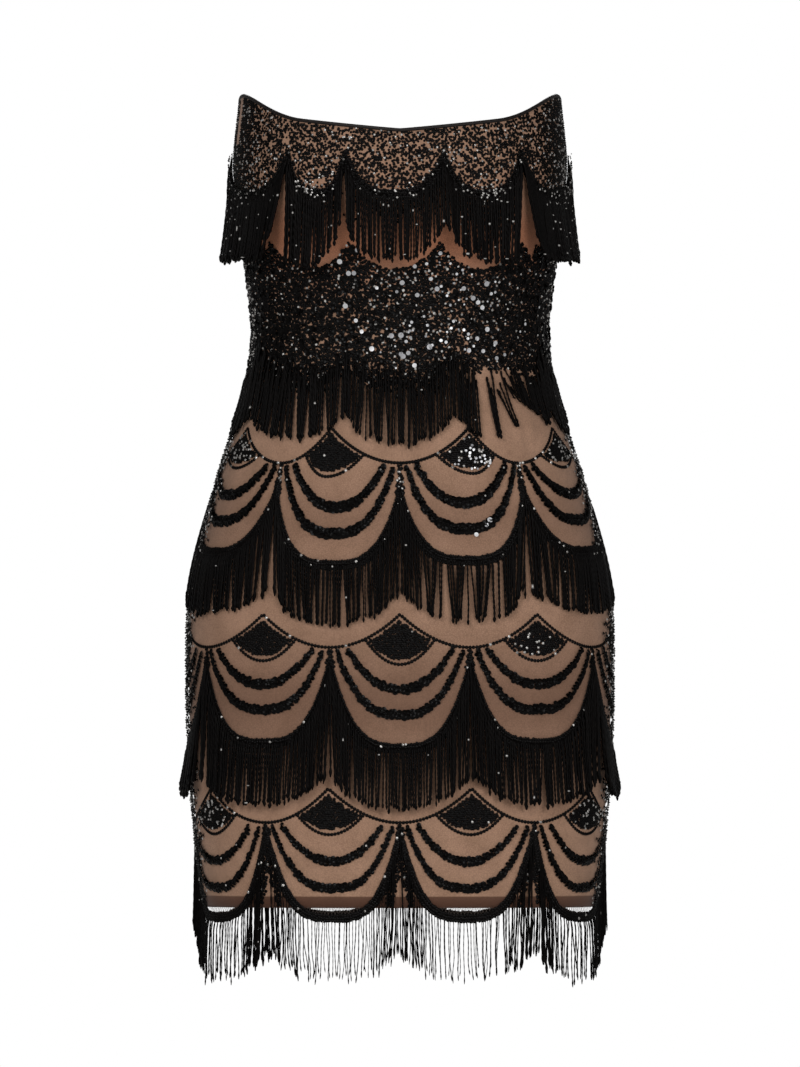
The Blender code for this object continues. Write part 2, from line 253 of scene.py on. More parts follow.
def jersey_under_net():
    """Matt nude viscose jersey seen through fine black net. It gives a soft, slightly mottled skin
    tone with a faint mesh, no gloss, and a darker fold at the hem. Painted shade is mixed in too:
    redder under the bust fringe, and browner in two bands below the tips of the skirt's fringes."""
    material, shader = new_material("nude_viscose_jersey_under_net", {
        "Roughness": 0.82, "Specular IOR Level": 0.25, "Sheen Weight": 0.15})
    place = node(material, "ShaderNodeUVMap", {"uv_map": "UVMap"}).outputs["UV"]
    mottle = node(material, "ShaderNodeTexNoise", {"Scale": 38, "Detail": 3, "Roughness": 0.55},
                  Vector=place)
    shade = node(material, "ShaderNodeValToRGB", {"stops": ((0.3, NUDE_SHADE), (0.7, NUDE_JERSEY))},
                 Fac=mottle.outputs["Fac"])
    cells = node(material, "ShaderNodeTexVoronoi", {"feature": "DISTANCE_TO_EDGE",
                 "Scale": 1 / (NET_CELL * MM), "Randomness": 0.8}, Vector=place)
    thread = node(material, "ShaderNodeMapRange", {"From Min": 0.03, "From Max": 0.16, "To Min": 0.3,
                  "To Max": 0}, Value=cells.outputs["Distance"]).outputs["Result"]
    bust_fringe_shade, fold_and_shade = (node(material, "ShaderNodeAttribute", {"attribute_name": name}).outputs["Fac"]
                  for name in ("warmth", "hem_fold"))
    colour = shade.outputs["Color"]
    for share, tint in ((bust_fringe_shade, FRINGE_SHADE_JERSEY), (fold_and_shade, FOLD_AND_SHADE_BROWN), (thread, NET_THREAD)):
        mixed = node(material, "ShaderNodeMix", {"data_type": "RGBA"}, Factor=share)
        join(material, colour, mixed.inputs[6])
        mixed.inputs[7].default_value = linear(tint)
        colour = mixed.outputs[2]
    join(material, colour, shader.inputs["Base Color"])
    bump = node(material, "ShaderNodeBump", {"Strength": 0.25, "Distance": 0.0003}, Height=thread)
    join(material, bump.outputs["Normal"], shader.inputs["Normal"])
    return material


def cloth_panel(name, middle, material, columns=113, rows=78):
    """A thin closed shell from side seam to side seam: an outer and an inner grid from the neck edge
    to the hem, joined round their borders."""
    place = middle + np.linspace(-SIDE_SEAM, SIDE_SEAM, columns)[None, :]
    # The rows are closer together near the hem, where its fold begins
    top = neckline(place) - CORD_CENTRE
    share = np.linspace(0, 1, rows - len(HEM_ROWS), endpoint=False)[:, None]
    upper = top + (HEM_HEIGHT + HEM_ROWS[0] - top) * share
    height = np.concatenate((upper, [HEM_HEIGHT + up + 0 * top[0] for up in HEM_ROWS]))
    faces = [on_body(place, height, out).reshape(-1, 3) for out in CLOTH_FACES]
    count = rows * columns
    edge = np.concatenate((np.arange(columns), np.arange(2 * columns - 1, count, columns),
                           np.arange(count - 2, count - columns - 1, -1),
                           np.arange(count - 2 * columns, 0, -columns)))
    rim = np.stack((edge, np.roll(edge, -1), np.roll(edge, -1) + count, edge + count), axis=-1)
    quads = np.concatenate((grid_faces(rows, columns), grid_faces(rows, columns, count)[:, ::-1], rim))
    # Painted shade: the cloth is drawn redder under the bust fringe, which shades it
    warmth = FRINGE_SHADE_SHARE * np.exp(-((height - FRINGE_SHADE_HEIGHT) / FRINGE_SHADE_REACH) ** 2)
    fold_and_shade = np.clip(HEM_HEIGHT + HEM_FOLD_HEIGHT - height, 0, 1)
    # Painted shade: the cloth is drawn browner in bands below the fringes' tips, in the same attribute as the
    # hem fold
    for middle_height, reach, share in FRINGE_SHADE_BANDS:
        fold_and_shade = np.maximum(fold_and_shade, share * np.exp(-((height - middle_height) / reach) ** 2))
    uv = np.stack(np.broadcast_arrays(place * UNIT_LENGTH * MM, height * MM), axis=-1)
    return put_mesh(name, np.concatenate(faces), quads, material, uv=np.tile(uv.reshape(-1, 2), (2, 1)),
                    values={"warmth": np.tile(warmth.ravel(), 2), "hem_fold": np.tile(fold_and_shade.ravel(), 2)})


nude = jersey_under_net()
for half, middle in HALVES:
    panel = cloth_panel(f"cloth_{half}", middle, nude)
    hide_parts(f"dress_{half}")


# The neck edge.
# A cord bound in black satin, folded over the raw edge of net and jersey and stitched through. It
# stiffens the edge and holds the strapless neckline to the body.

CORD_RADIUS = 1.8
CORD_DEPTH = -1  # its centre line, from the outer face of the CAD wall
CORD_SIDES = 12
# The second colour is a painted sheen, drawn on the crests of the satin's ribs
SATIN, SATIN_RIB_SHEEN = "#0F0B0A", "#1E1613"
SATIN_RIB = 2.2  # from one rib of the weave to the next


def black_satin():
    """Polyester satin cut on the bias. It is nearly black with a low broad gloss and fine ribs; the
    ribs' crests are painted a little lighter as a sheen.
    """
    material, shader = new_material("black_polyester_satin_bias", {"Roughness": 0.5,
                                                                   "Specular IOR Level": 0.3})
    place = node(material, "ShaderNodeUVMap", {"uv_map": "UVMap"})
    ribs = node(material, "ShaderNodeTexWave", {"Scale": 1 / (SATIN_RIB * MM) / 6.28, "Distortion": 0.6,
                "bands_direction": "DIAGONAL"}, Vector=place.outputs["UV"]).outputs["Fac"]
    # Painted sheen: the ribs' crests, raised by the bump, are drawn lighter
    shade = node(material, "ShaderNodeValToRGB", {"stops": ((0, SATIN), (1, SATIN_RIB_SHEEN))}, Fac=ribs)
    join(material, shade.outputs["Color"], shader.inputs["Base Color"])
    bump = node(material, "ShaderNodeBump", {"Strength": 0.4, "Distance": 0.0003}, Height=ribs)
    join(material, bump.outputs["Normal"], shader.inputs["Normal"])
    return material


def tube_faces(at):
    """Quads between the rings of tubes, where `at` numbers the points by ring and side."""
    after = np.roll(at, -1, axis=-1)
    return np.stack((at[..., :-1, :], at[..., 1:, :], after[..., 1:, :], after[..., :-1, :]),
                    axis=-1).reshape(-1, 4)


def neck_cord(name, middle, material, columns=161):
    """A tube whose centre line runs one radius below the neckline, over the middle of the cloth."""
    place = middle + np.linspace(-SIDE_SEAM, SIDE_SEAM, columns)[:, None]
    turn = np.linspace(0, 2 * np.pi, CORD_SIDES, endpoint=False)[None, :]
    centre = neckline(place) - CORD_CENTRE
    ring = on_body(place, centre + 0 * turn, CORD_DEPTH + CORD_RADIUS * np.cos(turn))
    ring[..., 2] += CORD_RADIUS * np.sin(turn) * MM
    at = np.arange(columns * CORD_SIDES).reshape(columns, CORD_SIDES)
    k = np.arange(CORD_SIDES // 2 - 1)
    cap = np.stack((k, k + 1, CORD_SIDES - 2 - k, CORD_SIDES - 1 - k), axis=-1)
    quads = np.concatenate((tube_faces(at), at[0][cap], at[-1][cap[:, ::-1]]))
    uv = np.stack(np.broadcast_arrays(place * UNIT_LENGTH * MM, turn * CORD_RADIUS * MM), axis=-1)
    return put_mesh(name, ring, quads, material, uv=uv)


satin = black_satin()
for half, middle in HALVES:
    cord = neck_cord(f"neck_cord_{half}", middle, satin)
    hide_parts(f"neck_edge_{half}")


# Beading of the bust.
# Black glass seed beads sewn close together all over the net above the bust fringe. Wandering lines
# between them are left bare and show the nude jersey, and pale beads gather near the fringe: cut
# steel, and partly painted glints where black beads catch the light.

chance = np.random.default_rng(1926)
BUST_UNIT, BUST_SHIFT = 0.8, -0.06
BUST_BAND_SIDE, BUST_BAND_MIDDLE = 27, -9  # top of the fringe's band, where scallops meet and between
SEED_BEAD = 2.6  # diameter of a bead with its share of thread
OVER_SHARE, OVER_REACH = 0.62, 25  # beads over the fringe: their share at its head, and how far down
BUST_SLITS = (-0.99, 1.09)  # where the fringe has swung apart, so that no bead lies over it
SLIT_HALF, SLIT_TOP = 13, 12
BEAD_PITCH = 2.2
GAP_WAVE = 8  # from one bare line to the next but one
BUST_GAP, SIDE_GAP = 0.46, 0.03  # how wide the bare lines are, in front and past the side fronts
SIDE_STRIP = (-1.97, -1.68)  # a plain strip at the wearer's right underarm
GLASS_BLACK, GLASS_SOFT_BLACK = "#050404", "#0E0B0A"
PALE_STEEL_AND_GLINT, GREY_STEEL_AND_GLINT = "#D8D5D1", "#6B6763"
BUST_STEEL_AND_GLINTS = 0.05  # share of pale beads among the black: cut steel, and partly painted glints

# Where pale beads gather among the black, cut steel and partly painted glints where black beads
# catch the light, most of all at the sides: the middle of each patch, its size and their share
STEEL_AND_GLINT_PATCHES = named("place height width tall share", (
    (-0.78, -7, 20, 9, 0.4), (-0.12, -14, 30, 9, 0.18), (0.72, -14, 32, 10, 0.34),
    (0.42, 20, 12, 9, 0.25), (1.7, 0, 30, 60, 0.14), (-1.45, 10, 30, 40, 0.06),
    (-1.85, -120, 24, 70, 0.2), (1.85, -130, 22, 70, 0.1), (0.35, -110, 60, 45, 0.08),
    (0.6, -246, 24, 18, 0.14), (-1.55, -240, 30, 26, 0.22), (1.55, -240, 30, 26, 0.2),
    (0, -256, 6, 9, 0.35), (-1, -257, 8, 9, 0.4), (1.05, -256, 10, 9, 0.35),
    (0.72, -303, 16, 8, 0.12), (0.95, -405, 20, 16, 0.1), (-1.85, -300, 20, 70, 0.16),
    (1.85, -300, 20, 70, 0.12), (-1.6, -560, 36, 30, 0.18), (1.6, -560, 36, 30, 0.14),
))


def shine_of(place, height, steel=0):
    """A number for each bead: up to 0.8 a tone of black, and over 0.9 for a pale bead, cut steel and
    partly a painted glint, which is a share of `steel` everywhere and more in the patches."""
    share = np.full(len(place), float(steel))
    for patch in STEEL_AND_GLINT_PATCHES:
        side = (place - patch["place"]) * UNIT_LENGTH / patch["width"]
        share += patch["share"] * np.exp(-side**2 - ((height - patch["height"]) / patch["tall"]) ** 2)
    pale_steel_and_glint = chance.random(len(place)) < share
    black = chance.uniform(0, 0.8, len(place))
    return np.where(pale_steel_and_glint, chance.uniform(0.91, 1, len(place)), black)


def bead_material(name, stops, values):
    """A material for many small pieces: the `shine` of each is its place on a ramp of colours."""
    material, shader = new_material(name, values)
    shine = node(material, "ShaderNodeAttribute", {"attribute_name": "shine"}).outputs["Fac"]
    shade = node(material, "ShaderNodeValToRGB", {"stops": stops}, Fac=shine)
    join(material, shade.outputs["Color"], shader.inputs["Base Color"])
    return material, shader, shine


def black_glass():
    """Pressed glass: opaque black with small sharp highlights. Where `shine` is over 0.9 a bead is
    cut steel, grey to pale and partly metallic, and partly a painted glint where a black bead would
    catch the light; the rest differ a little in darkness."""
    material, shader, shine = bead_material(
        "black_glass_and_steel_beads_painted_glints",
        ((0, GLASS_BLACK), (0.85, GLASS_SOFT_BLACK), (0.9, GREY_STEEL_AND_GLINT), (1, PALE_STEEL_AND_GLINT)),
        {"Roughness": 0.22, "Specular IOR Level": 0.08})
    metal = node(material, "ShaderNodeMapRange", {"From Min": 0.85, "From Max": 0.9, "To Max": 0.6},
                 Value=shine)
    join(material, metal.outputs["Result"], shader.inputs["Metallic"])
    return material


def sideways(place, height, out=0):
    """The direction round the body."""
    side = on_body(place + 0.01, height, out) - on_body(place - 0.01, height, out)
    return side / np.linalg.norm(side, axis=-1, keepdims=True)


def copies(template, place, height, out, size, lean=0, spin=0):
    """A small shape set on the body at many places at once: its points (k, 3) in its own diameters
    and its triangles. Size, spin and lean are one number or one for each."""
    points, triangles = template
    here, side = on_body(place, height, out), sideways(place, height, out)
    outward = on_body(place, height, out + 1) - here
    outward -= side * (outward * side).sum(axis=-1, keepdims=True)
    outward /= np.linalg.norm(outward, axis=-1, keepdims=True)
    up = np.cross(outward, side)
    count = len(here)
    size, lean, spin = (np.broadcast_to(value, (count,))[:, None] for value in (size, lean, spin))
    turned = side * np.cos(spin) + up * np.sin(spin)
    raised = up * np.cos(spin) - side * np.sin(spin)
    tipped = raised * np.cos(lean) + outward * np.sin(lean)
    face = outward * np.cos(lean) - raised * np.sin(lean)
    axes = np.stack((turned, tipped, face), axis=1)
    placed = here[:, None] + np.einsum("kj,nji->nki", points, axes) * size[:, :, None] * MM
    faces = triangles[None] + (np.arange(count) * len(points))[:, None, None]
    return placed.reshape(-1, 3), faces.reshape(-1, 3), len(points)


def cap_shape(sides, rim, middle):
    """A shallow cap of one diameter: a rim at one height and a middle point at another, which makes
    the dome of a sewn bead or, with the rim the higher, a cupped sequin."""
    k = np.arange(sides)
    turn = k * 2 * np.pi / sides
    ring = np.stack((np.cos(turn) / 2, np.sin(turn) / 2, np.full(sides, rim)), axis=-1)
    triangles = np.stack((k, (k + 1) % sides, np.full(sides, sides)), axis=-1)
    return np.concatenate((ring, [(0, 0, middle)])), triangles


def wandering(place, height, wave, seed):
    """A random surface with waves of one length: the sum of cosines in many directions. Its zero
    lines wander as hand-sewn lines do."""
    maker = np.random.default_rng(seed)
    total = 0
    for way, phase in zip(maker.uniform(0, 2 * np.pi, 22), maker.uniform(0, 2 * np.pi, 22)):
        along = place * UNIT_LENGTH * np.cos(way) + height * np.sin(way)
        total = total + np.cos(2 * np.pi * along / wave + phase)
    return total / np.sqrt(11)


def from_unit_middle(place, shift, unit=1):
    """How far a place is from its unit's middle, 0 there and 1 where two units meet."""
    return np.abs((place / unit - shift + 0.5) % 1 - 0.5) * 2


def bust_pattern(place):
    """The place in the even pattern that is sewn at a place of the bust: its scallops differ in width."""
    return np.interp(wrapped(place), (-4, -2, -0.94, -0.45, 0.35, 1.03, 2, 4),
                     (-4.05, -2.05, -1.25, -0.45, 0.35, 1.15, 1.95, 3.95))


def swag(place, shift, side, middle, unit=1, power=3.2):
    """The height of a line that hangs from `side`, where units meet, down to `middle`."""
    return side + (middle - side) * (1 - from_unit_middle(place, shift, unit) ** power)


def bust_band(place):
    """Where the beading of the bust ends, at the band of its fringe."""
    return swag(bust_pattern(place), BUST_SHIFT, BUST_BAND_SIDE, BUST_BAND_MIDDLE, BUST_UNIT)


def scattered(middle, low, high, pitch, half=SIDE_SEAM, loose=0.26):
    """Places and heights of a loose grid round one middle, a row every pitch, each point a little
    off its place and every other row half a pitch along."""
    heights = np.arange(low, high, pitch * 0.87)
    across = np.arange(-half * UNIT_LENGTH, half * UNIT_LENGTH, pitch)
    height, along = np.meshgrid(heights, across, indexing="ij")
    along = along + (np.arange(len(heights)) % 2)[:, None] * pitch / 2
    height = height + chance.uniform(-loose, loose, height.shape) * pitch
    along = along + chance.uniform(-loose, loose, along.shape) * pitch
    keep = np.abs(along) < half * UNIT_LENGTH - pitch / 2
    return middle + along[keep] / UNIT_LENGTH, height[keep]


def sewn_piece(name, groups, material):
    """One mesh from several groups of copies, each group with a shine for each copy."""
    starts = np.cumsum([0] + [len(placed) for (placed, _, _), _ in groups])
    faces = [triangles + start for ((_, triangles, _), _), start in zip(groups, starts)]
    shine = [np.repeat(shine, size) for (_, _, size), shine in groups]
    made = put_mesh(name, np.concatenate([group[0][0] for group in groups]), np.concatenate(faces),
                    material, values={"shine": np.concatenate(shine)})


def beads(place, height, out, size, steel=0):
    """A group of sewn beads, each turned at random. The pale ones, cut steel and painted glints, are
    smaller and stand a little out.
    """
    turned = chance.uniform(0, 3, len(place))
    shine = shine_of(place, height, steel)
    size, out = np.where(shine > 0.9, 0.8 * size, size), np.where(shine > 0.9, out + 0.5, out)
    return copies(BEAD, place, height, out, size, spin=turned), shine


BEAD = cap_shape(6, 0, 0.45)
glass = black_glass()
for half, middle in HALVES:
    place, height = scattered(middle, -20, 76, BEAD_PITCH)
    inside = (height > bust_band(place) - 1) & (height < neckline(place) - 3.4)
    in_strip = (place > SIDE_STRIP[0]) & (place < SIDE_STRIP[1]) & (height > 32)
    inside &= ~in_strip | (np.abs(place - np.mean(SIDE_STRIP)) < 0.02)
    gap = BUST_GAP + (SIDE_GAP - BUST_GAP) * np.clip((np.abs(place) - 1.25) / 0.2, 0, 1)
    keep = inside & (np.abs(wandering(place, height, GAP_WAVE, 7)) > gap)
    place, height = place[keep], height[keep]
    size = SEED_BEAD * chance.uniform(0.85, 1.15, len(place))
    groups = [beads(place, height, -0.3, size, BUST_STEEL_AND_GLINTS)]
    # The beading runs on, ever thinner, over the heads of the fringe
    place, height = scattered(middle, -40, BUST_BAND_SIDE, BEAD_PITCH)
    below = bust_band(place) - height
    over = (below > 0) & (chance.random(len(place)) < OVER_SHARE * np.exp(-(below / OVER_REACH) ** 2))
    for slit in BUST_SLITS:
        over &= (np.abs(place - slit) * UNIT_LENGTH > SLIT_HALF) | (height > SLIT_TOP)
    place, height = place[over], height[over]
    groups.append(beads(place, height, chance.uniform(3, 4.2, len(place)), SEED_BEAD, BUST_STEEL_AND_GLINTS))
    sewn_piece(f"bust_beads_{half}", groups, glass)


# Beads and sequins of the waist.
# Black seed beads with cupped sequins among them, sewn close together from under the bust to the
# waist fringe. Thin wandering gaps show the nude jersey, and loose silver paillettes lie on top.

WAIST_TOP_SIDE, WAIST_TOP_MIDDLE = -54, -78  # its upper edge, where scallops meet and between
WAIST_BAND_SIDE, WAIST_BAND_MIDDLE = -158, -180
WAIST_GAP_WAVE = 10.5
WAIST_GAPS = (0, 0.17)  # from where the beading is closest to where it is most open
OPEN_WAVE = 95  # from one open area to the next
WAIST_OPEN = 0.98  # past this place it is close all over
WAIST_RAGGED = 4  # how far single beads stray down between the heads of the fringe
BARE_PLACE, BARE_REACH, BARE_LIFT = 1, 0.36, 14  # where the fringe has parted, it ends higher
SEQUIN_SIZE, SEQUIN_SHARE, WAIST_STEEL_AND_GLINTS = 4.4, 0.07, 0.025
FILM_BLACK, FILM_SOFT_BLACK = "#050404", "#0C0A09"
# Painted reflection: each paillette is drawn between these, white as if catching the light, grey as if turned
# away
PAINTED_REFLECTION_WHITE, PAINTED_REFLECTION_GREY = "#F4F4F6", "#9C9CA0"
PAILLETTE = 5  # the largest
PAILLETTE_LOW = -166
SMALL_PAILLETTES, BACK_PAILLETTES = 56, 70
FAN_PAILLETTES, FAN_PLACE = 24, 0.6  # in one fan of the hip
# Where the larger ones gather on the front: the middle of each group, its reach and how many it has
PAILLETTE_GROUPS = named("place height reach count", (
    (-0.48, -76, 11, 4), (-0.38, -136, 12, 4), (0.1, -156, 13, 4), (0.05, -128, 15, 4),
    (0.26, -94, 14, 5), (0.68, -98, 10, 4), (0.76, -138, 13, 7), (0.62, -307, 9, 3),
))


def waist_top(place):
    """Where the beading of the waist begins: scallops in front, a straight line near the side seams."""
    scallops = swag(place, BUST_SHIFT, WAIST_TOP_SIDE, WAIST_TOP_MIDDLE, BUST_UNIT, 2.4)
    at_seam = np.abs(np.abs(wrapped(place)) - SIDE_SEAM) < 0.68
    return np.where(at_seam, WAIST_TOP_SIDE - 4, scallops)


SEQUIN = cap_shape(8, 0.14, 0)
PAILLETTE_DISC = cap_shape(10, 0.05, 0.02)
# Embossed polyester film: near black and smoother than the glass, so it flashes as it turns
film = bead_material("black_polyester_film_sequins",
                     ((0, FILM_BLACK), (0.85, FILM_SOFT_BLACK), (0.9, GREY_STEEL_AND_GLINT), (1, PALE_STEEL_AND_GLINT)),
                     {"Roughness": 0.25, "Specular IOR Level": 0.08})[0]
# Metallised film: a flat pale mirror that reads as a dot. Its reflection is painted: the film is
# white and only a little metallic, and each disc is drawn grey to white at random, as if turned
silver = bead_material("silver_film_painted_reflection", ((0, PAINTED_REFLECTION_GREY), (1, PAINTED_REFLECTION_WHITE)),
                       {"Metallic": 0.3, "Roughness": 0.3})[0]
for half, middle in HALVES:
    place, height = scattered(middle, WAIST_BAND_MIDDLE - 20, WAIST_TOP_SIDE, BEAD_PITCH, loose=0.45)
    bare = np.exp(-((place - BARE_PLACE) / BARE_REACH) ** 4)
    lower = swag(place, 0, WAIST_BAND_SIDE, WAIST_BAND_MIDDLE) + BARE_LIFT * bare
    lower = lower - chance.exponential(WAIST_RAGGED, len(place)) * (1 - 0.8 * bare)
    open_share = np.clip(0.5 + 0.6 * wandering(place, height, OPEN_WAVE, 5), 0, 1)
    gap = WAIST_GAPS[0] + (WAIST_GAPS[1] - WAIST_GAPS[0]) * open_share * (np.abs(place - middle) < WAIST_OPEN)
    inside = (height < waist_top(place)) & (height > lower)
    keep = inside & (np.abs(wandering(place, height, WAIST_GAP_WAVE, 21)) > gap)
    place, height = place[keep], height[keep]
    size = SEED_BEAD * chance.uniform(0.9, 1.3, len(place))
    groups = [beads(place, height, chance.uniform(-0.4, 0.3, len(place)), size, WAIST_STEEL_AND_GLINTS)]
    some = chance.random(len(place)) < SEQUIN_SHARE
    sequins = copies(SEQUIN, place[some], height[some], 1, SEQUIN_SIZE,
                     lean=chance.normal(0, 0.3, some.sum()), spin=chance.uniform(0, 6, some.sum()))
    groups.append((sequins, chance.uniform(0, 0.8, some.sum())))
    sewn_piece(f"waist_beads_{half}", groups, film)
    # Most paillettes lie to the right of centre front; the back has its own even scatter
    if half == "front":
        place = chance.normal(0.4, 0.33, SMALL_PAILLETTES)
        size = chance.uniform(1.5, 3.1, len(place))
    else:
        place = middle + chance.uniform(-1.7, 1.7, BACK_PAILLETTES)
        size = (0.4 + 0.6 * chance.random(len(place)) ** 1.3) * PAILLETTE
    top = waist_top(place) - 4
    height = top + (PAILLETTE_LOW - top) * chance.random(len(place))
    if half == "front":
        for group in PAILLETTE_GROUPS:
            side, up = chance.normal(0, group["reach"], (2, group["count"]))
            place = np.append(place, group["place"] + side / UNIT_LENGTH)
            height = np.append(height, group["height"] + up)
            size = np.append(size, PAILLETTE * chance.uniform(0.72, 1, group["count"]))
        # Small ones fill one fan of the hip, more of them low in it
        rise = chance.uniform(0, 1, FAN_PAILLETTES) ** 1.3
        fan_place = FAN_PLACE + chance.uniform(-0.2, 0.2, FAN_PAILLETTES) * (1 - rise) ** 0.8
        arc = 5 * ((fan_place - FAN_PLACE) / 0.2) ** 2
        place, height = np.append(place, fan_place), np.append(height, -255 + arc + 22 * rise)
        size = np.append(size, chance.uniform(1.6, 2.6, FAN_PAILLETTES))
    discs = copies(PAILLETTE_DISC, place, height, 1.9, size, lean=chance.normal(0, 0.12, len(place)))
    # Painted reflection: a random shine draws each disc grey to white
    sewn_piece(f"silver_paillettes_{half}", [(discs, chance.uniform(0, 1, len(place)))], silver)


# The swag tiers of the skirt.
# Three rows of Art Deco fish scales: a couched line of beads that rises to cusps, a fan of close
# beads under each cusp, two thick swags of cupped sequins, and a stem of beads where units meet.

SKIRT_TIERS = named("name shift unit cusp low fan swag_1 swag_2 band_side scallop tip_side tip_middle "
                    "flare lean", (
    ("hip", 0.5, 1, -218, -249, -261, -288, -311, -268, -342, -364, -392, 0, 0.1),
    ("thigh", 0, 1, -382, -411, -426, -448, -470, -419, -503, -526, -554, 6, 0),
    ("hem", 0.5, 1, -535, -565, -575.5, -599, -622.5, -566, -653, -684, -704, 0, 0.02),
))
# The units of a tier don't hang equally low: the middles of some units round the body, and the lift
LIFT_MIDDLES = (-4, -3, -2, -1.5, -1, -0.5, 0, 0.5, 1, 1.5, 2, 3, 4)
LIFTS = {"hip": (4, 6, 9, 11, 5, 0, 2, 4, 8, 12, 9, 6, 4),
         "thigh": (2, 4, 6, 5, 4.5, 2, 0, 2, 4.5, 5, 6, 4, 2),
         "waist": (0, 0, 0, 0, 6, 0, 0, 0, 0, 0, 0, 0, 0)}
FAN_REACH = 0.5
SWAGS = (("swag_1", 0.75, 2.2), ("swag_2", 0.9, 2.8))  # each with its reach and its roundness
SWAG_CLEARANCE = 3.5  # from the cusp line to a swag's end
BAND_HEIGHT = 7
LINE_BEAD, FAN_BEAD, EDGE_BEAD, STEM_BEAD, FILL_BEAD, TRAIL_BEAD = 3.5, 3.1, 2.4, 2.9, 3.2, 3
FAN_PITCH, FILL_PITCH, TRAIL_PITCH = 2.1, 2.4, 2.6
LINE_STEEL_AND_GLINTS, FAN_STEEL_AND_GLINTS, STEM_STEEL_AND_GLINTS = 0.01, 0.004, 0.02  # shares of pale beads: cut steel, and partly painted glints
FAN_BORDER = 4.8  # from the cusp line to the fan's beads, less at its two corners
SWAG_SEQUIN, SWAG_PITCH = 6.2, 3.6
SWAG_THICKNESS = {"hip": 0.95, "thigh": 0.87, "hem": 0.8}
TRAIL_WAVE, TRAIL_LINE, TRAIL_STEEL_AND_GLINTS = 12, 0.75, 0.2
TRAIL_MIDDLE, TRAIL_HALF, TRAIL_THIN = 1.81, 0.18, 0.3
STEM_WIDTHS = (2, 4.2)  # half the width of a stem, at its top and bottom
STEM_OVERLAP = 9  # how far it runs down between the two arms of the band
HEM_FILL, HEM_FILL_HALF = 42, 13  # beads below the arms of the hem's band, down and across


def leaned(place, tier):
    """The place in the pattern that is sewn at a place of the cloth: in front, the cusps of a tier
    with a lean stand that much further out than its swags."""
    shift = tier["lean"]
    return np.interp(wrapped(place), (-4, -1.5, -1, -0.5 - shift, 0, 0.5 + shift, 1, 1.5, 4),
                     (-4, -1.5, -1, -0.5, 0, 0.5, 1, 1.5, 4))


def lift_of(place, tier):
    """How much higher than the table the unit round a place hangs."""
    return np.interp(np.round(wrapped(place) - tier["shift"]) + tier["shift"], LIFT_MIDDLES,
                     LIFTS.get(tier["name"], np.zeros(len(LIFT_MIDDLES))))


def cusp_line(place, tier):
    """A line that hangs between two up-pointing cusps, at the middles of two units."""
    rise = (1 - from_unit_middle(leaned(place, tier), tier["shift"])) ** 2
    return tier["low"] + (tier["cusp"] - tier["low"]) * rise


def smile(place, tier, middle, reach, power=2, drop=0):
    """A curve that rises from `middle`, at a unit's middle, to the cusp line less a drop, at `reach`."""
    middle = middle + lift_of(place, tier)
    end = tier["low"] + (tier["cusp"] - tier["low"]) * (1 - reach) ** 2 - drop
    return middle + (end - middle) * (from_unit_middle(place, tier["shift"]) / reach) ** power


def band_line(place, tier):
    """The top of the scalloped band that a fringe hangs from."""
    middle = tier["scallop"] + BAND_HEIGHT + lift_of(place, tier)
    place = bust_pattern(place) if tier["name"] == "bust" else place
    return swag(place, tier["shift"], tier["band_side"], middle, tier["unit"])


def along_line(low, high, line, pitch):
    """Places from low to high so that points on the line are one pitch apart, with their heights."""
    fine = np.linspace(low, high, 400)
    heights = line(fine)
    length = np.concatenate(([0], np.cumsum(np.hypot(np.diff(fine) * UNIT_LENGTH, np.diff(heights)))))
    place = np.interp(np.arange(pitch / 2, length[-1], pitch), length, fine)
    return place, line(place)


def span(middle, margin=0.01):
    """The first and last place of one half of the body, less a margin at each side seam."""
    return middle - SIDE_SEAM + margin, middle + SIDE_SEAM - margin


def on_half(place, height, middle):
    """The points that lie on one half of the body."""
    keep = np.abs(place - middle) < SIDE_SEAM - 0.012
    return place[keep], height[keep]


def fan_of(tier, centre, middle):
    """The outline and the filling of one fan: beads between the cusp line and a smile below it."""
    def lower(place):
        return smile(leaned(place, tier), tier, tier["fan"] - 0.3 * lift_of(place, tier), FAN_REACH)
    corners = centre + np.array((-1, 1)) * FAN_REACH / 2
    if tier["lean"] and abs(centre) < 1:
        corners = corners + np.sign(centre) * tier["lean"] * FAN_REACH
    place, height = on_half(*along_line(*corners, lower, LINE_BEAD * 0.86), middle)
    outline = beads(place, height, -0.2, LINE_BEAD, LINE_STEEL_AND_GLINTS)
    grid = scattered(corners.mean(), tier["fan"], tier["cusp"], FAN_PITCH, FAN_REACH / 2 + 0.06)
    place, height = on_half(*grid, middle)
    border = FAN_BORDER * (1 - 0.5 * np.abs(place - corners.mean()) * 2 / FAN_REACH)
    inside = (height < cusp_line(place, tier) - border) & (height > lower(place) + border)
    place, height = place[inside], height[inside]
    return outline, beads(place, height, chance.uniform(-0.2, 0.5, len(place)), FAN_BEAD, FAN_STEEL_AND_GLINTS)


